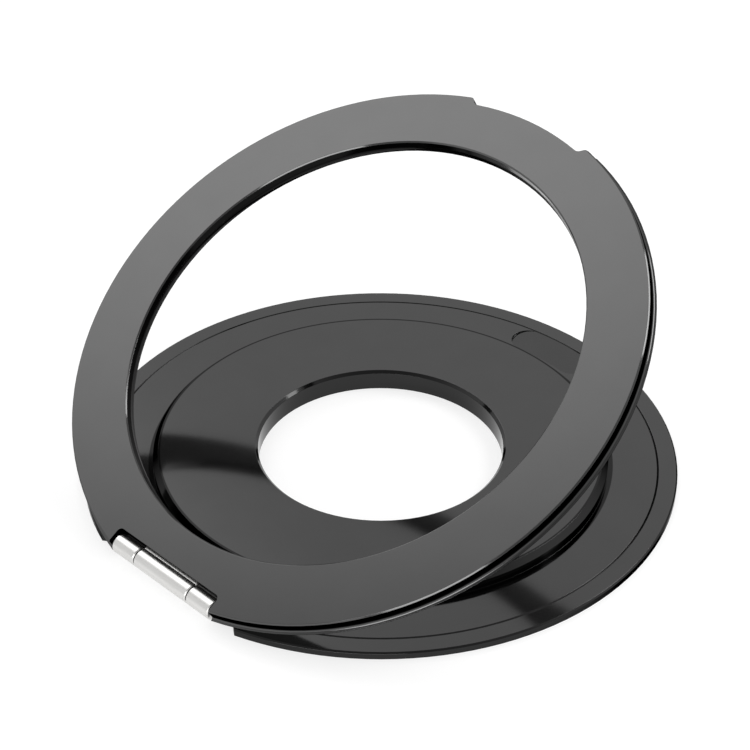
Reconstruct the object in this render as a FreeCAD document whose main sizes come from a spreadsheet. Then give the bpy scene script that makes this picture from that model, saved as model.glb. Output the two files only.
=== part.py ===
import FreeCAD, Part
import math
import os
import re
import Sketcher
from FreeCAD import Placement, Rotation, Vector

# Folding magnetic stand: a disc base, a ring that swings up from it and a three-knuckle friction hinge.
# Origin at the centre of the underside, +Z up, hinge axis along X on the -Y side. Millimetres and degrees.
SIZES = {
    # Base: flange, raised disc, centre hole
    "base_radius": 36.5,
    "flange_width": 8.5,
    "flange_thick": 0.9,
    "rim_chamfer": 0.18,
    "disc_width": 12.9,
    "disc_height": 2.65,
    "disc_chamfer": 0.65,
    "hole_chamfer": 0.35,
    # Fine ring groove in the flange
    "groove_inset": 2.4,
    "groove_width": 0.25,
    "groove_depth": 0.15,
    # Finger scoop in the flange, opposite the hinge
    "scoop_inset": 1.55,
    "scoop_rim": 2.3,
    "scoop_angle": 6.9,
    "scoop_depth": 0.4,
    # Soft pad under the base
    "pad_rim": 0.8,
    "pad_thick": 0.3,
    "pad_gap": 0.1,
    # Magnet pocket inside the raised disc
    "pocket_wall": 0.8,
    "pocket_width": 5.4,
    "pocket_angle": 320.0,
    "fit_gap": 0.1,
    "cover_thick": 0.4,
    "magnet_thick": 1.45,
    "magnet_count": 20,
    "magnet_gap_angle": 1.0,
    # Hinge
    "barrel_inset": 0.84,
    "barrel_radius": 1.2,
    "barrel_length": 16.84,
    "middle_length": 9.07,
    "seam_width": 0.15,
    "knuckle_ease": 0.12,
    "pin_radius": 0.6,
    "pin_inset": 0.05,
    "press_gap": 0.01,
    "running_gap": 0.03,
    "washer_inset": 0.2,
    "washer_gap": 0.02,
    # Hinge cut-out in the flange
    "notch_gap": 0.4,
    "notch_side_gap": 0.75,
    "notch_flare_angle": 56.0,
    # Base leaf
    "leaf_thick": 0.35,
    "leaf_lift": 0.05,
    "leaf_setback": 0.4,
    "plate_depth": 3.4,
    "tongue_length": 6.4,
    "tongue_half": 5.0,
    "leaf_gap": 0.1,
    # Ring
    "ring_inset": 0.22,
    "ring_clearance": 0.87,
    "ring_thick": 1.65,
    "ring_chamfer": 0.15,
    "ring_back_thick": 0.6,
    "flare_reach": 0.15,
    "flare_height": 0.4,
    "lip_reach": 0.38,
    "lip_edge": 0.08,
    "lip_gap_angle": 2.3,
    "fold_gap": 0.4,
    "open_angle": 30.0,
    "grip_depth": 1.03,
    "grip_angle": 13.6,
    "grip_flare_angle": 47.7,
    "grip_round": 0.8,
    "ring_notch_gap": 0.19,
    "ring_notch_side_gap": 0.3,
    "ring_notch_round": 0.6,
    # Magnet pocket inside the ring
    "channel_wall": 0.73,
    "channel_rim": 1.88,
    "channel_angle": 312.0,
    "ring_magnet_thick": 0.5,
    "ring_magnet_count": 26,
    # Ring leaf
    "ring_leaf_inset": 0.93,
    "joggle_lead": 0.5,
    "joggle_run": 0.3,
    "tail_lift": 0.2,
    "mouth_depth": 0.64,
    # How far cuts run on past the faces they open
    "cut_margin": 1.0,
}
# Lengths below this count as nothing
NEAR = 1e-6
# Angles at which the lip's hollow sweep has its corners
SWEEP_ANGLES = (0, 30, 60, 90)
UP = Vector(0, 0, 1)
# Points of a sketch element, and the axes and origin of the sketch
START, END, CENTRE = 1, 2, 3
X_AXIS, Y_AXIS = -1, -2
ORIGIN = (X_AXIS, START)

# Heights that follow from the sizes
COVER_TOP = "(pad_thick + cover_thick)"
POCKET_ROOF = f"({COVER_TOP} + magnet_thick)"
LEAF_BOTTOM = "(pad_thick + leaf_lift)"
LEAF_TOP = f"({LEAF_BOTTOM} + leaf_thick)"
HINGE_HEIGHT = f"({LEAF_BOTTOM} + barrel_radius)"
RING_BOTTOM = "(flange_thick + fold_gap)"
RING_TOP = f"({RING_BOTTOM} + ring_thick)"
RING_PARTING = f"({RING_BOTTOM} + ring_back_thick)"
CHANNEL_ROOF = f"({RING_PARTING} + ring_magnet_thick)"
TAIL_TOP = f"({RING_PARTING} + tail_lift)"
TAIL_BOTTOM = f"({TAIL_TOP} - leaf_thick)"
# Radii of the base
DISC_RADIUS = "(base_radius - flange_width)"
HOLE_RADIUS = f"({DISC_RADIUS} - disc_width)"
GROOVE_RADIUS = "(base_radius - groove_inset)"
SCOOP_INNER = f"({DISC_RADIUS} + scoop_inset)"
SCOOP_OUTER = "(base_radius - scoop_rim)"
SCOOP_WIDTH = f"({SCOOP_OUTER} - {SCOOP_INNER})"
PAD_INNER = f"({HOLE_RADIUS} + pad_rim)"
PAD_OUTER = "(base_radius - pad_rim)"
POCKET_OUTER = f"({DISC_RADIUS} - pocket_wall)"
POCKET_INNER = f"({POCKET_OUTER} - pocket_width)"
# Radii of the ring
RING_OUTER = "(base_radius - ring_inset)"
RING_INNER = f"({DISC_RADIUS} + ring_clearance)"
CHANNEL_INNER = f"({RING_INNER} + channel_wall)"
CHANNEL_OUTER = f"({RING_OUTER} - channel_rim)"
GRIP_FLOOR = f"({RING_OUTER} - grip_depth)"
LIP_ANGLE = "(360 - 2 * (grip_angle + lip_gap_angle))"
# Half-lengths along the hinge axis
MIDDLE_HALF = "(middle_length / 2)"
BARREL_HALF = "(barrel_length / 2)"
OUTER_START = f"({MIDDLE_HALF} + seam_width)"
NOTCH_HALF = f"({BARREL_HALF} + notch_side_gap)"
RING_NOTCH_HALF = f"({BARREL_HALF} + ring_notch_side_gap)"
RING_SEAT_HALF = f"({MIDDLE_HALF} + fit_gap)"
# Distances of the hinge's details from the base's axis
HINGE_REACH = "(base_radius - barrel_inset - barrel_radius)"
NOTCH_FLOOR = f"({HINGE_REACH} - barrel_radius - notch_gap)"
RING_NOTCH_FLOOR = f"({HINGE_REACH} - barrel_radius - ring_notch_gap)"
JOGGLE_START = f"({RING_NOTCH_FLOOR} - joggle_lead)"
JOGGLE_END = f"({JOGGLE_START} + joggle_run)"
TAIL_END = f"({HINGE_REACH} - (barrel_radius + pin_radius) / 2)"
LEAF_FRONT = f"({NOTCH_FLOOR} - leaf_setback)"
LEAF_SHOULDER = f"({LEAF_FRONT} - plate_depth)"
LEAF_END = f"({LEAF_SHOULDER} - tongue_length)"
RING_LEAF_END = f"({RING_INNER} + ring_leaf_inset)"

doc = FreeCAD.newDocument("folding_stand")
sheet = doc.addObject("Spreadsheet::Sheet", "Sizes")
for row, (alias, size) in enumerate(SIZES.items(), start=1):
    sheet.set(f"A{row}", alias)
    sheet.set(f"B{row}", str(size))
    sheet.setAlias(f"B{row}", alias)
doc.recompute()


def bound(text):
    """An expression in size names, in the form that a document object reads."""
    return re.sub(r"[a-z_]+", lambda word: f"Sizes.{word[0]}" if word[0] in SIZES else word[0], text)


def value(text):
    """The number that an expression in size names gives now."""
    return float(sheet.evalExpression(bound(text)))


def new_body(label):
    body = doc.addObject("PartDesign::Body", label)
    body.Label = label
    return body


def origin_feature(body, role):
    return next(item for item in body.Origin.OriginFeatures if item.Role == role)


def new_sketch(body, plane, height=None):
    """A sketch on one of the body's own origin planes, lifted along its normal by an expression."""
    sketch = body.newObject("Sketcher::SketchObject", f"{body.Label}_sketch")
    sketch.AttachmentSupport = [(origin_feature(body, plane), "")]
    sketch.MapMode = "FlatFace"
    if height:
        sketch.setExpression("AttachmentOffset.Base.z", bound(height))
    return sketch


def hold(sketch, kind, geometry, point, text):
    """Ties one coordinate of a sketch point to an expression."""
    number = value(text)
    if abs(number) < NEAR:
        axis = Y_AXIS if kind == "DistanceX" else X_AXIS
        sketch.addConstraint(Sketcher.Constraint("PointOnObject", geometry, point, axis))
        return
    index = sketch.addConstraint(Sketcher.Constraint(kind, *ORIGIN, geometry, point, number))
    sketch.setExpression(f"Constraints[{index}]", bound(text))


def hold_radius(sketch, geometry, text):
    """Ties the radius of a circle or an arc to an expression."""
    index = sketch.addConstraint(Sketcher.Constraint("Radius", geometry, value(text)))
    sketch.setExpression(f"Constraints[{index}]", bound(text))


def polygon(sketch, points):
    """A closed outline of straight sides through points given as pairs of expressions."""
    corners = [Vector(value(x), value(y), 0) for x, y in points]
    first = sketch.GeometryCount
    count = len(corners)
    for index, corner in enumerate(corners):
        sketch.addGeometry(Part.LineSegment(corner, corners[(index + 1) % count]))
    for index, (x, y) in enumerate(points):
        side = first + index
        following = first + (index + 1) % count
        sketch.addConstraint(Sketcher.Constraint("Coincident", side, END, following, START))
        hold(sketch, "DistanceX", side, START, x)
        hold(sketch, "DistanceY", side, START, y)


def rectangle(sketch, low_x, high_x, low_y, high_y):
    polygon(sketch, [(low_x, low_y), (high_x, low_y), (high_x, high_y), (low_x, high_y)])


def circle(sketch, radius, x, y):
    centre = Vector(value(x), value(y), 0)
    index = sketch.addGeometry(Part.Circle(centre, UP, value(radius)))
    hold(sketch, "DistanceX", index, CENTRE, x)
    hold(sketch, "DistanceY", index, CENTRE, y)
    hold_radius(sketch, index, radius)


def add_feature(body, kind, sketch, **settings):
    """A feature made from a sketch. Settings given as text are bound to the sheet."""
    feature = body.newObject(f"PartDesign::{kind}", f"{body.Label}_{kind.lower()}")
    feature.Profile = sketch
    for name, setting in settings.items():
        if isinstance(setting, str) and name in ("Length", "Angle"):
            feature.setExpression(name, bound(setting))
        else:
            setattr(feature, name, setting)
    before = 0 if body.Shape.isNull() else body.Shape.Volume
    doc.recompute()
    if abs(feature.Shape.Volume - before) < NEAR:
        raise ValueError(f"{feature.Name} changes nothing")
    return feature


def pad(body, sketch, length, both_ways=False):
    return add_feature(body, "Pad", sketch, Length=length, SideType="Symmetric" if both_ways else "One side")


def cut_up(body, sketch, height=None):
    """Cuts upwards from the sketch, by a height or right through."""
    if height:
        return add_feature(body, "Pocket", sketch, Reversed=True, Length=height)
    return add_feature(body, "Pocket", sketch, Reversed=True, Type="ThroughAll")


def turn(body, sketch, angle="360"):
    """Turns a section about Z, to both sides of the sketch's plane."""
    axis = (sketch, ["V_Axis"])
    return add_feature(body, "Revolution", sketch, ReferenceAxis=axis, Angle=angle, Midplane=True)


def turn_out(body, sketch, angle):
    """Cuts a turned section about Z, to both sides of the sketch's plane."""
    axis = (sketch, ["V_Axis"])
    return add_feature(body, "Groove", sketch, ReferenceAxis=axis, Angle=angle, Midplane=True)


def round_edges(body, radius, chosen):
    """Rounds the edges of the body's last feature that the chosen test accepts."""
    base = body.Tip
    names = [f"Edge{index}" for index, edge in enumerate(base.Shape.Edges, start=1) if chosen(edge)]
    fillet = body.newObject("PartDesign::Fillet", f"{body.Label}_fillet")
    fillet.Base = (base, names)
    fillet.setExpression("Radius", bound(radius))
    doc.recompute()


def upright(edge):
    """Whether an edge is straight and parallel to Z."""
    if len(edge.Vertexes) != 2:
        return False
    first, last = (vertex.Point for vertex in edge.Vertexes)
    run = last - first
    return run.Length > NEAR and abs(abs(run.z) - run.Length) < NEAR


def ring_section(body, inner, outer, bottom, top, angle="360"):
    """A plain ring, or a sector of one centred on +Y."""
    sketch = new_sketch(body, "YZ_Plane")
    rectangle(sketch, inner, outer, bottom, top)
    return turn(body, sketch, angle)


def polar_row(body, feature, sector, count):
    """Repeats a feature evenly about Z, from its first place on over a sector."""
    pattern = body.newObject("PartDesign::PolarPattern", f"{body.Label}_pattern")
    pattern.Originals = [feature]
    pattern.Axis = (origin_feature(body, "Z_Axis"), [""])
    pattern.setExpression("Angle", bound(f"{sector} * (1 - 1 / {count})"))
    pattern.setExpression("Occurrences", bound(count))
    body.Tip = pattern
    doc.recompute()


def magnet_ring(label, inner, outer, bottom, top, sector, count):
    """Wedge-shaped magnets side by side in a ring pocket, with a thin space between them."""
    body = new_body(label)
    half = f"(({sector} / {count} - magnet_gap_angle) / 2 * 1 deg)"
    near = f"({inner}) * tan({half})"
    far = f"({outer}) * sin({half})"
    face = f"({outer}) * cos({half})"
    wedge = new_sketch(body, "XY_Plane", bottom)
    polygon(wedge, [(f"-{near}", inner), (near, inner), (far, face), (f"-{far}", face)])
    first = pad(body, wedge, f"{top} - {bottom}")
    polar_row(body, first, sector, count)
    start = value(f"{sector} / {count} / 2 - {sector} / 2")
    body.Placement = Placement(Vector(), Rotation(UP, start))


def hinge_cut_out(gap="0"):
    """The flange's cut-out: a flat floor with flared sides."""
    beyond = "(base_radius + cut_margin)"
    half = f"({NOTCH_HALF} + {gap} * tan((90 - notch_flare_angle) / 2 * 1 deg))"
    floor = f"({NOTCH_FLOOR} - {gap})"
    wide = f"({half} + ({beyond} - {floor}) * tan(notch_flare_angle * 1 deg))"
    return [
        (f"-{wide}", f"-{beyond}"),
        (f"-{half}", f"-{floor}"),
        (half, f"-{floor}"),
        (wide, f"-{beyond}"),
    ]


def leaf_outline(gap="0"):
    """The base leaf seen from above: two tabs under the outer knuckles, a plate and a tongue."""
    half = f"({BARREL_HALF} + {gap})"
    tab = f"({OUTER_START} - {gap})"
    tongue = f"(tongue_half + {gap})"
    plate = f"({LEAF_FRONT} + {gap})"
    shoulder = f"({LEAF_SHOULDER} - {gap})"
    end = f"({LEAF_END} - {gap})"
    right = [
        (tongue, f"-{end}"),
        (tongue, f"-{shoulder}"),
        (half, f"-{shoulder}"),
        (half, f"-{HINGE_REACH}"),
        (tab, f"-{HINGE_REACH}"),
        (tab, f"-{plate}"),
    ]
    left = [(f"-{x}", y) for x, y in reversed(right)]
    return right + left


def cut_scoop(body):
    """Finger scoop: an arc slot with round ends whose floor slopes up to the flange's face."""
    slope = f"atan(scoop_depth / {SCOOP_WIDTH})"
    foot = f"flange_thick - scoop_depth - {SCOOP_INNER} * scoop_depth / {SCOOP_WIDTH}"
    sketch = new_sketch(body, "XY_Plane", foot)
    sketch.AttachmentOffset = Placement(sketch.AttachmentOffset.Base, Rotation(Vector(1, 0, 0), value(slope)))
    sketch.setExpression("AttachmentOffset.Rotation.Angle", bound(slope))
    inner = value(SCOOP_INNER)
    outer = value(SCOOP_OUTER)
    middle = (inner + outer) / 2
    end = (outer - inner) / 2
    lean = math.radians(value("scoop_angle"))
    left = math.pi / 2 + lean
    right = math.pi / 2 - lean
    arcs = [
        (Vector(), inner, right, left),
        (Vector(), outer, right, left),
        (middle * Vector(math.cos(left), math.sin(left), 0), end, left, left + math.pi),
        (middle * Vector(math.cos(right), math.sin(right), 0), end, right - math.pi, right),
    ]
    near_arc, far_arc, left_end, right_end = (
        sketch.addGeometry(Part.ArcOfCircle(Part.Circle(centre, UP, radius), start, stop))
        for centre, radius, start, stop in arcs
    )
    for arc, radius in ((near_arc, SCOOP_INNER), (far_arc, SCOOP_OUTER)):
        sketch.addConstraint(Sketcher.Constraint("Coincident", arc, CENTRE, *ORIGIN))
        hold_radius(sketch, arc, radius)
    for joint in (
        (near_arc, END, left_end, END),
        (far_arc, END, left_end, START),
        (near_arc, START, right_end, START),
        (far_arc, START, right_end, END),
    ):
        sketch.addConstraint(Sketcher.Constraint("Tangent", *joint))
    reach = f"({SCOOP_INNER} + {SCOOP_OUTER}) / 2 * sin(scoop_angle * 1 deg)"
    hold(sketch, "DistanceX", left_end, CENTRE, f"-{reach}")
    hold(sketch, "DistanceX", right_end, CENTRE, reach)
    cut_up(body, sketch)


def make_base_shell():
    body = new_body("base_shell")
    section = new_sketch(body, "YZ_Plane")
    polygon(section, [
        ("base_radius", "0"),
        ("base_radius", "flange_thick - rim_chamfer"),
        ("base_radius - rim_chamfer", "flange_thick"),
        (f"{GROOVE_RADIUS} + groove_width / 2", "flange_thick"),
        (GROOVE_RADIUS, "flange_thick - groove_depth"),
        (f"{GROOVE_RADIUS} - groove_width / 2", "flange_thick"),
        (DISC_RADIUS, "flange_thick"),
        (DISC_RADIUS, "disc_height - disc_chamfer"),
        (f"{DISC_RADIUS} - disc_chamfer", "disc_height"),
        (f"{HOLE_RADIUS} + hole_chamfer", "disc_height"),
        (HOLE_RADIUS, "disc_height - hole_chamfer"),
        (HOLE_RADIUS, "0"),
        (f"{PAD_INNER} - pad_gap", "0"),
        (f"{PAD_INNER} - pad_gap", "pad_thick"),
        (f"{PAD_OUTER} + pad_gap", "pad_thick"),
        (f"{PAD_OUTER} + pad_gap", "0"),
    ])
    turn(body, section)
    pocket = new_sketch(body, "YZ_Plane")
    rectangle(pocket, POCKET_INNER, POCKET_OUTER, "0", POCKET_ROOF)
    turn_out(body, pocket, "pocket_angle")
    notch = new_sketch(body, "XY_Plane")
    polygon(notch, hinge_cut_out())
    cut_up(body, notch)
    seat = new_sketch(body, "XY_Plane")
    polygon(seat, leaf_outline("leaf_gap"))
    cut_up(body, seat, LEAF_TOP)
    cut_scoop(body)


def make_base_pad():
    body = new_body("base_pad")
    ring_section(body, PAD_INNER, PAD_OUTER, "0", "pad_thick")
    notch = new_sketch(body, "XY_Plane")
    polygon(notch, hinge_cut_out("pad_gap"))
    cut_up(body, notch)


def make_base_inside():
    """Cover plate and wedge-shaped magnets, stacked in the raised disc's pocket."""
    inner = f"{POCKET_INNER} + fit_gap"
    outer = f"{POCKET_OUTER} - fit_gap"
    sector = "(pocket_angle - 2 * magnet_gap_angle)"
    ring_section(new_body("magnet_cover"), inner, outer, "pad_thick", COVER_TOP, sector)
    magnet_ring("base_magnets", inner, outer, COVER_TOP, POCKET_ROOF, sector, "magnet_count")


def add_knuckle(body, start, stop, gap):
    """A barrel along the hinge axis with eased ends and a bore for the pin."""
    sketch = new_sketch(body, "XY_Plane", HINGE_HEIGHT)
    sketch.setExpression("AttachmentOffset.Base.y", bound(f"-{HINGE_REACH}"))
    bore = f"pin_radius + {gap}"
    polygon(sketch, [
        (start, bore),
        (start, "barrel_radius - knuckle_ease"),
        (f"{start} + knuckle_ease", "barrel_radius"),
        (f"{stop} - knuckle_ease", "barrel_radius"),
        (stop, "barrel_radius - knuckle_ease"),
        (stop, bore),
    ])
    add_feature(body, "Revolution", sketch, ReferenceAxis=(sketch, ["H_Axis"]), Angle="360")


def make_base_leaf():
    body = new_body("base_leaf")
    plate = new_sketch(body, "XY_Plane", LEAF_BOTTOM)
    polygon(plate, leaf_outline())
    pad(body, plate, "leaf_thick")
    add_knuckle(body, OUTER_START, BARREL_HALF, "press_gap")
    add_knuckle(body, f"-{BARREL_HALF}", f"-{OUTER_START}", "press_gap")


def make_hinge_pin():
    pin = doc.addObject("Part::Cylinder", "hinge_pin")
    pin.Label = "hinge_pin"
    pin.setExpression("Radius", bound("pin_radius"))
    pin.setExpression("Height", bound("barrel_length - 2 * pin_inset"))
    pin.Placement = Placement(Vector(), Rotation(UP, Vector(1, 0, 0)))
    pin.setExpression("Placement.Base.x", bound(f"pin_inset - {BARREL_HALF}"))
    pin.setExpression("Placement.Base.y", bound(f"-{HINGE_REACH}"))
    pin.setExpression("Placement.Base.z", bound(HINGE_HEIGHT))


def make_hinge_washers():
    body = new_body("hinge_washers")
    for side in ("-", ""):
        face = new_sketch(body, "YZ_Plane", f"{side}({MIDDLE_HALF} + seam_width / 2)")
        circle(face, "barrel_radius - washer_inset", f"-{HINGE_REACH}", HINGE_HEIGHT)
        circle(face, "pin_radius + running_gap", f"-{HINGE_REACH}", HINGE_HEIGHT)
        pad(body, face, "seam_width - 2 * washer_gap", both_ways=True)


def cut_ring_notch(body):
    """The notch in the ring's edge that the hinge barrel turns in."""
    notch = new_sketch(body, "XY_Plane")
    beyond = f"-({RING_OUTER} + cut_margin)"
    rectangle(notch, f"-{RING_NOTCH_HALF}", RING_NOTCH_HALF, beyond, f"-{RING_NOTCH_FLOOR}")
    cut_up(body, notch)
    floor = value(f"-{RING_NOTCH_FLOOR}")

    def at_floor(edge):
        return upright(edge) and abs(edge.CenterOfMass.y - floor) < NEAR

    round_edges(body, "ring_notch_round", at_floor)


def cut_grip(body):
    """The finger notch in the ring's edge, opposite the hinge, with sloping ends."""
    reach = f"{GRIP_FLOOR} * sin(grip_angle * 1 deg)"
    level = f"{GRIP_FLOOR} * cos(grip_angle * 1 deg)"
    beyond = f"({RING_OUTER} + cut_margin)"
    wide = f"({reach} + ({beyond} - {level}) * tan(grip_flare_angle * 1 deg))"
    sketch = new_sketch(body, "XY_Plane")
    half = math.radians(value("grip_angle"))
    right_foot = Vector(value(reach), value(level), 0)
    left_foot = Vector(-right_foot.x, right_foot.y, 0)
    right_top = Vector(value(wide), value(beyond), 0)
    left_top = Vector(-right_top.x, right_top.y, 0)
    circle_floor = Part.Circle(Vector(), UP, value(GRIP_FLOOR))
    floor = sketch.addGeometry(Part.ArcOfCircle(circle_floor, math.pi / 2 - half, math.pi / 2 + half))
    left = sketch.addGeometry(Part.LineSegment(left_foot, left_top))
    top = sketch.addGeometry(Part.LineSegment(left_top, right_top))
    right = sketch.addGeometry(Part.LineSegment(right_top, right_foot))
    for side, following in ((floor, left), (left, top), (top, right), (right, floor)):
        sketch.addConstraint(Sketcher.Constraint("Coincident", side, END, following, START))
    sketch.addConstraint(Sketcher.Constraint("Coincident", floor, CENTRE, *ORIGIN))
    hold_radius(sketch, floor, GRIP_FLOOR)
    hold(sketch, "DistanceX", floor, START, reach)
    hold(sketch, "DistanceX", floor, END, f"-{reach}")
    for point, x in ((START, f"-{wide}"), (END, wide)):
        hold(sketch, "DistanceX", top, point, x)
        hold(sketch, "DistanceY", top, point, beyond)
    cut_up(body, sketch)
    low = value(f"{level} - cut_margin")
    round_edges(body, "grip_round", lambda edge: upright(edge) and edge.CenterOfMass.y > low)


def make_ring_shell():
    body = new_body("ring_shell")
    section = new_sketch(body, "YZ_Plane")
    polygon(section, [
        (RING_INNER, RING_PARTING),
        (RING_OUTER, RING_PARTING),
        (RING_OUTER, f"{RING_TOP} - ring_chamfer"),
        (f"{RING_OUTER} - ring_chamfer", RING_TOP),
        (f"{RING_INNER} + ring_chamfer", RING_TOP),
        (RING_INNER, f"{RING_TOP} - ring_chamfer"),
    ])
    turn(body, section)
    channel = new_sketch(body, "YZ_Plane")
    rectangle(channel, CHANNEL_INNER, CHANNEL_OUTER, RING_BOTTOM, CHANNEL_ROOF)
    turn_out(body, channel, "channel_angle")
    cut_ring_notch(body)
    mouth = new_sketch(body, "XY_Plane")
    beyond = f"-({RING_NOTCH_FLOOR} + cut_margin)"
    rectangle(mouth, f"-{RING_SEAT_HALF}", RING_SEAT_HALF, beyond, f"-({RING_NOTCH_FLOOR} - mouth_depth)")
    cut_up(body, mouth, CHANNEL_ROOF)
    cut_grip(body)


def add_lip(body):
    """A thin lip round the ring's rear edge, swept hollow from the wall, with a gap at the finger notch."""
    sweep = [
        (
            f"-({RING_OUTER} + lip_reach * (1 - cos({angle} deg)))",
            f"{RING_BOTTOM} + lip_edge + lip_reach * (1 - sin({angle} deg))",
        )
        for angle in SWEEP_ANGLES
    ]
    root = f"-({RING_OUTER} - lip_reach)"
    section = new_sketch(body, "YZ_Plane")
    polygon(section, [
        (root, RING_BOTTOM),
        (root, f"{RING_BOTTOM} + lip_edge + lip_reach"),
        *sweep,
        (f"-({RING_OUTER} + lip_reach)", RING_BOTTOM),
    ])
    turn(body, section, LIP_ANGLE)
    notch = new_sketch(body, "XY_Plane")
    beyond = f"-({RING_OUTER} + cut_margin)"
    floor = f"-({RING_NOTCH_FLOOR} + ring_notch_round)"
    rectangle(notch, f"-{RING_NOTCH_HALF}", RING_NOTCH_HALF, beyond, floor)
    cut_up(body, notch)


def make_ring_back():
    body = new_body("ring_back")
    section = new_sketch(body, "YZ_Plane")
    polygon(section, [
        (f"{RING_INNER} - flare_reach", RING_BOTTOM),
        (RING_OUTER, RING_BOTTOM),
        (RING_OUTER, RING_PARTING),
        (RING_INNER, RING_PARTING),
        (RING_INNER, f"{RING_BOTTOM} + flare_height"),
    ])
    turn(body, section)
    cut_ring_notch(body)
    seat = new_sketch(body, "XY_Plane")
    beyond = f"-({RING_NOTCH_FLOOR} + cut_margin)"
    rectangle(seat, f"-{RING_SEAT_HALF}", RING_SEAT_HALF, beyond, f"-({RING_LEAF_END} - fit_gap)")
    cut_up(body, seat)
    cut_grip(body)
    add_lip(body)


def make_ring_magnets():
    inner = f"{CHANNEL_INNER} + fit_gap"
    outer = f"{CHANNEL_OUTER} - fit_gap"
    sector = "(channel_angle - 2 * magnet_gap_angle)"
    magnet_ring("ring_magnets", inner, outer, RING_PARTING, CHANNEL_ROOF, sector, "ring_magnet_count")


def make_ring_leaf():
    body = new_body("ring_leaf")
    side = new_sketch(body, "YZ_Plane")
    polygon(side, [
        (f"-{RING_LEAF_END}", RING_BOTTOM),
        (f"-{RING_LEAF_END}", RING_PARTING),
        (f"-{JOGGLE_START}", RING_PARTING),
        (f"-{JOGGLE_END}", TAIL_TOP),
        (f"-{TAIL_END}", TAIL_TOP),
        (f"-{TAIL_END}", TAIL_BOTTOM),
        (f"-{JOGGLE_END}", TAIL_BOTTOM),
        (f"-{JOGGLE_START}", RING_BOTTOM),
    ])
    pad(body, side, "middle_length", both_ways=True)
    add_knuckle(body, f"-{MIDDLE_HALF}", MIDDLE_HALF, "running_gap")


def open_ring():
    """Swings the ring's pieces up about the hinge axis, from folded to the rest position."""
    axis = Vector(0, value(f"-{HINGE_REACH}"), value(HINGE_HEIGHT))
    swing = Placement(Vector(), Rotation(Vector(1, 0, 0), value("open_angle")), axis)
    for name in ("ring_shell", "ring_back", "ring_magnets", "ring_leaf"):
        body = doc.getObject(name)
        body.Placement = swing.multiply(body.Placement)


def export_parts():
    doc.recompute()
    failed = [item.Name for item in doc.Objects if {"Invalid", "Error"} & set(item.State)]
    if failed:
        raise ValueError(f"failed features: {failed}")
    os.makedirs("parts", exist_ok=True)
    nodes = [item for item in doc.Objects if item.TypeId in ("PartDesign::Body", "Part::Cylinder")]
    for node in nodes:
        if node.Shape.isNull() or not node.Shape.isValid():
            raise ValueError(f"bad shape: {node.Label}")
    for node in nodes:
        node.Shape.exportStep(f"parts/{node.Label}.step")
        print(node.Label, len(node.Shape.Solids), round(node.Shape.Volume, 3))


make_base_shell()
make_base_pad()
make_base_inside()
make_base_leaf()
make_hinge_pin()
make_hinge_washers()
make_ring_shell()
make_ring_back()
make_ring_magnets()
make_ring_leaf()
open_ring()
export_parts()
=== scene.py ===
from math import cos, pi, radians
import bpy
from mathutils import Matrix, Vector

# Looks for the folding magnetic stand: satin black metal, a bright steel hinge and a white studio. Metres.
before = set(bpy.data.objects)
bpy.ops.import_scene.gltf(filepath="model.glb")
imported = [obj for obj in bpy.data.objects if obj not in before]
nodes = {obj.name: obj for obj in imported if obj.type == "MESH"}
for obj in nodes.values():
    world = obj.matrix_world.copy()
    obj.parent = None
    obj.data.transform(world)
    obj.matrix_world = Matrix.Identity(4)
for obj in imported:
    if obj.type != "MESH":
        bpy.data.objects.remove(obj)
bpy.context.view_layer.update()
MM = 0.001

# Camera, fitted to the photograph's ellipses
CAMERA_AT = Vector((154.31, -152.77, 165.23)) * MM
CAMERA_TARGET = Vector((-13.32, 12.13, 0.05)) * MM
CAMERA_LENS = 105.65

# Faces that meet at less than this are shaded as one smooth surface, in radians
SMOOTH_ANGLE = 0.62
# How deep the fine grain of a finish is
BUMP_DEPTH = 0.01 * MM
# The surround: its level low down and overhead, its dimmer side behind the camera, and the soft glow in it
LOW = 0.93
OVERHEAD = 0.5
DIM_TOWARD = (0.7, -0.7, 0.1)
DIM = 0.5
GLOW_TOWARD = (-0.675, 0.068, 0.735)
GLOW = 2.0
GLOW_RIM = 28


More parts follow.
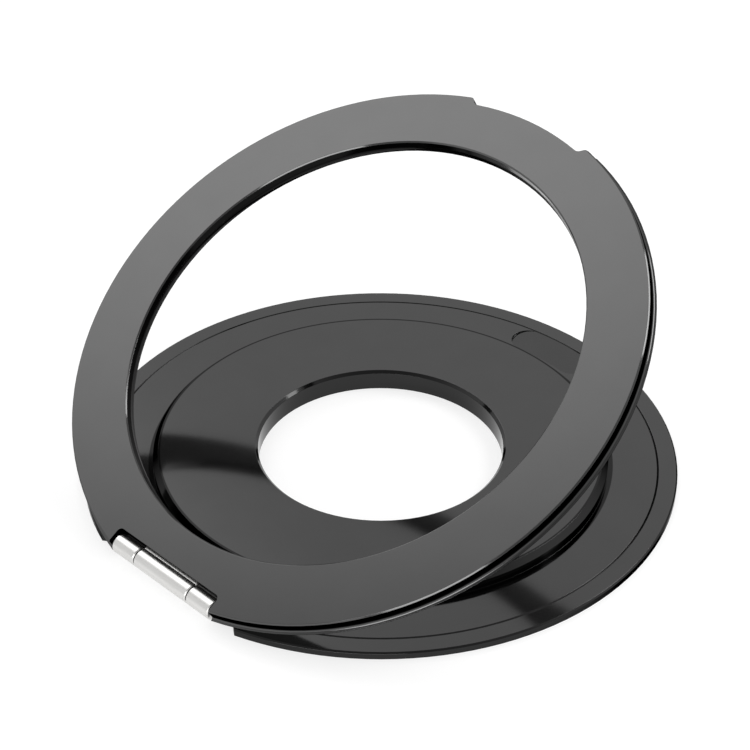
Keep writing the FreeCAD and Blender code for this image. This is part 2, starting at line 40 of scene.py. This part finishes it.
class Nodes:
    """Short calls for building one node tree."""

    def __init__(self, tree):
        self.tree = tree
        tree.nodes.clear()

    def add(self, kind, **settings):
        node = self.tree.nodes.new(kind)
        for name, setting in settings.items():
            setattr(node, name, setting)
        return node

    def join(self, source, target):
        self.tree.links.new(source, target)

    def math(self, operation, *values):
        """The result of an operation on numbers or on other nodes' outputs."""
        node = self.add("ShaderNodeMath", operation=operation)
        for socket, value in zip(node.inputs, values):
            if isinstance(value, (int, float)):
                socket.default_value = value
            else:
                self.join(value, socket)
        return node.outputs[0]

    def noise(self, scale, stretch=(1, 1, 1), detail=3.0):
        """A noise value in object space. Scale is in features per metre."""
        place = self.add("ShaderNodeTexCoord")
        mapping = self.add("ShaderNodeMapping")
        mapping.inputs["Scale"].default_value = stretch
        noise = self.add("ShaderNodeTexNoise")
        noise.inputs["Scale"].default_value = scale
        noise.inputs["Detail"].default_value = detail
        self.join(place.outputs["Object"], mapping.inputs["Vector"])
        self.join(mapping.outputs["Vector"], noise.inputs["Vector"])
        return noise.outputs["Fac"]

    def spread(self, value, low, high):
        """Maps a value from 0..1 to low..high."""
        node = self.add("ShaderNodeMapRange")
        node.inputs["To Min"].default_value = low
        node.inputs["To Max"].default_value = high
        self.join(value, node.inputs["Value"])
        return node.outputs["Result"]

    def tint(self, value, dark, light):
        """Mixes two colours by a value."""
        node = self.add("ShaderNodeMix", data_type="RGBA")
        node.inputs["A"].default_value = (*dark, 1)
        node.inputs["B"].default_value = (*light, 1)
        self.join(value, node.inputs["Factor"])
        return node.outputs["Result"]

    # The mask for the painted shade on walls.
    def facing(self, up, wall, face):
        """0 on walls and 1 on front and back faces, told apart by the cosine between the surface and the face."""
        place = self.add("ShaderNodeTexCoord")
        cosine = self.add("ShaderNodeVectorMath", operation="DOT_PRODUCT")
        cosine.inputs[1].default_value = up
        self.join(place.outputs["Normal"], cosine.inputs[0])
        return self.ramp(self.math("ABSOLUTE", cosine.outputs["Value"]), wall, face)

    def darken(self, colour, tone, amount):
        """Mixes a grey tone and a colour, which shows in full where the amount is 1."""
        node = self.add("ShaderNodeMix", data_type="RGBA")
        node.inputs["A"].default_value = (tone, tone, tone, 1)
        self.join(colour, node.inputs["B"])
        self.join(amount, node.inputs["Factor"])
        return node.outputs["Result"]

    def ramp(self, value, start, stop, low=0.0, high=1.0):
        """A soft step from low to high as a value goes from start to stop."""
        node = self.add("ShaderNodeMapRange", interpolation_type="SMOOTHSTEP")
        for name, setting in (("From Min", start), ("From Max", stop), ("To Min", low), ("To Max", high)):
            node.inputs[name].default_value = setting
        self.join(value, node.inputs["Value"])
        return node.outputs["Result"]

    def distance(self, point):
        """The distance from a point in object space."""
        place = self.add("ShaderNodeTexCoord")
        node = self.add("ShaderNodeVectorMath", operation="DISTANCE")
        node.inputs[1].default_value = point
        self.join(place.outputs["Object"], node.inputs[0])
        return node.outputs["Value"]

    def toward(self, direction):
        """The cosine between a direction and the way that the surround is looked at."""
        place = self.add("ShaderNodeTexCoord")
        node = self.add("ShaderNodeVectorMath", operation="DOT_PRODUCT")
        node.inputs[1].default_value = Vector(direction).normalized()
        self.join(place.outputs["Generated"], node.inputs[0])
        return node.outputs["Value"]


def finish(name, dark, light, rough, metallic, grain, stretch=(1, 1, 1), bump=0.05, edge=0.0, walls=None, hub=None,
           painted_shade_ring=None):
    """A finish whose colour, roughness and bump follow one grain. Edges look rounded by the edge radius, in mm.

    Walls, where given, is painted shade on the walls: the darker tone painted there, the way that the faces look and
    the cosines to it at which a surface counts as wall and as face. Hub goes with it: a point, the distance in mm
    beyond which walls lose gloss at a glancing angle, which is painted shade too, and what is left of it. Line, where
    given, is a ring of painted shade, darker, between two distances from the hub.
    """
    material = bpy.data.materials.new(name)
    material.use_nodes = True
    build = Nodes(material.node_tree)
    shader = build.add("ShaderNodeBsdfPrincipled")
    output = build.add("ShaderNodeOutputMaterial")
    build.join(shader.outputs["BSDF"], output.inputs["Surface"])
    shader.inputs["Metallic"].default_value = metallic
    fine = build.noise(grain, stretch)
    broad = build.noise(grain / 40, (1, 1, 1), 1.0)
    mixed = build.math("ADD", build.math("MULTIPLY", fine, 0.6), build.math("MULTIPLY", broad, 0.4))
    colour = build.tint(mixed, dark, light)
    # Painted shade: walls get a darker tone, and away from the hub less gloss at a glancing angle, chosen by the way
    # they face.
    if walls:
        tone, *turn = walls
        face = build.facing(*turn)
        colour = build.darken(colour, tone, face)
        centre, reach, rest = hub
        away = build.distance(centre)
        far = build.ramp(away, (reach - 1) * MM, (reach + 1) * MM)
        gloss = build.add("ShaderNodeMix", data_type="FLOAT")
        gloss.inputs["B"].default_value = SATIN_GLOSS
        build.join(build.spread(far, 1.0, rest), gloss.inputs["A"])
        build.join(face, gloss.inputs["Factor"])
        build.join(gloss.outputs["Result"], shader.inputs["Specular Tint"])
        # Painted shade: a darker ring between two distances from the hub.
        if painted_shade_ring:
            start, stop = painted_shade_ring
            inner = build.ramp(away, (start - 0.05) * MM, (start + 0.05) * MM, 1.0, 0.0)
            outer = build.ramp(away, (stop - 0.05) * MM, (stop + 0.05) * MM)
            colour = build.darken(colour, tone, build.math("MAXIMUM", inner, outer))
    build.join(colour, shader.inputs["Base Color"])
    build.join(build.spread(mixed, *rough), shader.inputs["Roughness"])
    relief = build.add("ShaderNodeBump")
    relief.inputs["Strength"].default_value = bump
    relief.inputs["Distance"].default_value = BUMP_DEPTH
    build.join(fine, relief.inputs["Height"])
    if edge:
        rounded = build.add("ShaderNodeBevel", samples=8)
        rounded.inputs["Radius"].default_value = edge * MM
        build.join(rounded.outputs["Normal"], relief.inputs["Normal"])
    build.join(relief.outputs["Normal"], shader.inputs["Normal"])
    return material


# The way that the flat faces of the base and of the open ring look, and the centres of both
BASE_UP = (0.0, 0.0, 1.0)
RING_UP = (0.0, -0.5, 0.866)
BASE_HUB = Vector((0.0, 0.0, 1.0)) * MM
RING_HUB = Vector((0.0, -4.9, 19.3)) * MM
# Distances from those centres, in mm: between inner and outer walls, and the band of painted shade at the raised
# disc's fine edge
BASE_MIDDLE = 20
RING_MIDDLE = 32.5
DISC_EDGE_SHADE = (27.15, 28.6)
# Satin black: its roughness, and how much of the gloss at a glancing angle its faces keep
SATIN_ROUGH = (0.07, 0.11)
SATIN_GLOSS = 0.5
# Painted shade on both blacks: walls darker than the faces, and outer walls with less gloss at a glancing angle.
BASE_BLACK = finish("base_black", (0.095,) * 3, (0.113,) * 3, SATIN_ROUGH, 1.0, 9000, bump=0.02, edge=0.06,
                    walls=(0.036, BASE_UP, 0.65, 0.98), hub=(BASE_HUB, BASE_MIDDLE, 0.25), painted_shade_ring=DISC_EDGE_SHADE)
RING_BLACK = finish("ring_black", (0.082,) * 3, (0.098,) * 3, SATIN_ROUGH, 1.0, 9000, bump=0.02, edge=0.06,
                    walls=(0.006, RING_UP, 0.1, 0.65), hub=(RING_HUB, RING_MIDDLE, 0.0))
STEEL = finish("brushed_steel", (0.6, 0.595, 0.585), (0.78, 0.775, 0.76), (0.28, 0.4), 1.0, 2500,
               stretch=(0.08, 1, 1), edge=0.06)
PLAIN = finish("plain_steel", (0.42, 0.42, 0.42), (0.56, 0.555, 0.55), (0.28, 0.42), 1.0, 4000)
PLATED = finish("nickel_plate", (0.56, 0.55, 0.53), (0.66, 0.645, 0.62), (0.12, 0.22), 1.0, 3000)
SHEET = finish("dark_sheet", (0.022, 0.022, 0.023), (0.036, 0.036, 0.037), (0.45, 0.6), 0.0, 6000)
PAD = finish("soft_pad", (0.018, 0.018, 0.019), (0.034, 0.034, 0.035), (0.7, 0.88), 0.0, 2600, bump=0.35)

FINISHES = {
    "base_shell": BASE_BLACK,
    "ring_shell": RING_BLACK,
    "ring_back": RING_BLACK,
    "base_leaf": STEEL,
    "ring_leaf": STEEL,
    "hinge_pin": PLAIN,
    "base_magnets": PLATED,
    "ring_magnets": PLATED,
    "magnet_cover": SHEET,
    # The washers' dark sheet is partly their own colour and partly painted shade in the seams between the knuckles.
    "hinge_washers": SHEET,
    "base_pad": PAD,
}


def smooth_group():
    """A node group that shades a mesh smooth, apart from its sharp edges."""
    group = bpy.data.node_groups.new("smooth_by_angle", "GeometryNodeTree")
    group.interface.new_socket("Geometry", in_out="INPUT", socket_type="NodeSocketGeometry")
    group.interface.new_socket("Geometry", in_out="OUTPUT", socket_type="NodeSocketGeometry")
    build = Nodes(group)
    start = build.add("NodeGroupInput")
    weld = build.add("GeometryNodeMergeByDistance")
    weld.inputs["Distance"].default_value = 0.001 * MM
    faces = build.add("GeometryNodeSetShadeSmooth", domain="FACE")
    faces.inputs["Shade Smooth"].default_value = True
    angle = build.add("GeometryNodeInputMeshEdgeAngle")
    sharp = build.add("FunctionNodeCompare", data_type="FLOAT", operation="GREATER_THAN")
    sharp.inputs["B"].default_value = SMOOTH_ANGLE
    edges = build.add("GeometryNodeSetShadeSmooth", domain="EDGE")
    edges.inputs["Shade Smooth"].default_value = False
    result = build.add("NodeGroupOutput")
    build.join(start.outputs[0], weld.inputs["Geometry"])
    build.join(weld.outputs["Geometry"], faces.inputs["Geometry"])
    build.join(faces.outputs["Geometry"], edges.inputs["Geometry"])
    build.join(angle.outputs["Unsigned Angle"], sharp.inputs["A"])
    build.join(sharp.outputs["Result"], edges.inputs["Selection"])
    build.join(edges.outputs["Geometry"], result.inputs[0])
    return group


SMOOTH = smooth_group()
for name, node in nodes.items():
    node.data.materials.clear()
    node.data.materials.append(FINISHES[name])
    node.modifiers.new("smooth", "NODES").node_group = SMOOTH


def make_camera():
    """The camera, at the photograph's angle."""
    data = bpy.data.cameras.new("camera")
    data.lens = CAMERA_LENS
    data.clip_start = 0.01
    data.clip_end = 100
    camera = bpy.data.objects.new("camera", data)
    camera.location = CAMERA_AT
    camera.rotation_euler = (CAMERA_TARGET - CAMERA_AT).to_track_quat("-Z", "Y").to_euler()
    bpy.context.scene.collection.objects.link(camera)
    bpy.context.scene.camera = camera


def make_floor():
    """A white floor that stays white to the camera and to reflections, and keeps a soft shadow."""
    reach = 30.0
    drop = -0.02 * MM
    mesh = bpy.data.meshes.new("floor")
    corners = [(-reach, -reach, drop), (reach, -reach, drop), (reach, reach, drop), (-reach, reach, drop)]
    mesh.from_pydata(corners, [], [(0, 1, 2, 3)])
    floor = bpy.data.objects.new("floor", mesh)
    bpy.context.scene.collection.objects.link(floor)
    material = bpy.data.materials.new("floor")
    material.use_nodes = True
    build = Nodes(material.node_tree)
    output = build.add("ShaderNodeOutputMaterial")
    lit = build.add("ShaderNodeBsdfDiffuse")
    lit.inputs["Color"].default_value = (0.34, 0.34, 0.34, 1)
    glow = build.add("ShaderNodeEmission")
    both = build.add("ShaderNodeAddShader")
    path = build.add("ShaderNodeLightPath")
    seen = build.math("MAXIMUM", path.outputs["Is Camera Ray"], path.outputs["Is Glossy Ray"])
    seen = build.math("MAXIMUM", seen, path.outputs["Is Transmission Ray"])
    build.join(build.math("MULTIPLY", seen, 0.74), glow.inputs["Strength"])
    build.join(lit.outputs["BSDF"], both.inputs[0])
    build.join(glow.outputs["Emission"], both.inputs[1])
    build.join(both.outputs["Shader"], output.inputs["Surface"])
    mesh.materials.append(material)


def make_world():
    """A white surround, dimmer overhead and behind the camera, with a soft glow that fades out towards its rim."""
    world = bpy.data.worlds.new("studio")
    world.use_nodes = True
    build = Nodes(world.node_tree)
    even = build.ramp(build.toward((0, 0, 1)), 0.45, 0.85, LOW, OVERHEAD)
    side = build.ramp(build.toward(DIM_TOWARD), 0.0, 0.8, 1.0, DIM)
    glow = build.ramp(build.toward(GLOW_TOWARD), cos(radians(GLOW_RIM)), 1.0, 0.0, GLOW)
    level = build.math("ADD", build.math("MULTIPLY", even, side), glow)
    background = build.add("ShaderNodeBackground")
    background.inputs["Color"].default_value = (1, 1, 1, 1)
    build.join(level, background.inputs["Strength"])
    output = build.add("ShaderNodeOutputWorld")
    build.join(background.outputs["Background"], output.inputs["Surface"])
    bpy.context.scene.world = world


def softbox(name, toward, distance, width, height, radiance):
    """A rectangular lamp that faces the object, as bright as radiance says wherever it is seen mirrored."""
    data = bpy.data.lights.new(name, "AREA")
    data.shape = "RECTANGLE"
    data.size = width
    data.size_y = height
    data.energy = radiance * pi * width * height
    lamp = bpy.data.objects.new(name, data)
    way = Vector(toward).normalized()
    lamp.location = way * distance
    lamp.rotation_euler = (-way).to_track_quat("-Z", "Y").to_euler()
    bpy.context.scene.collection.objects.link(lamp)


make_camera()
make_floor()
make_world()
softbox("back_softbox", (0.33, 0.63, 0.70), 0.8, 0.42, 0.3, 5.0)
softbox("front_softbox", (0.5, -0.82, 0.27), 0.8, 0.62, 0.36, 3.8)
bpy.context.scene.view_settings.view_transform = "Standard"
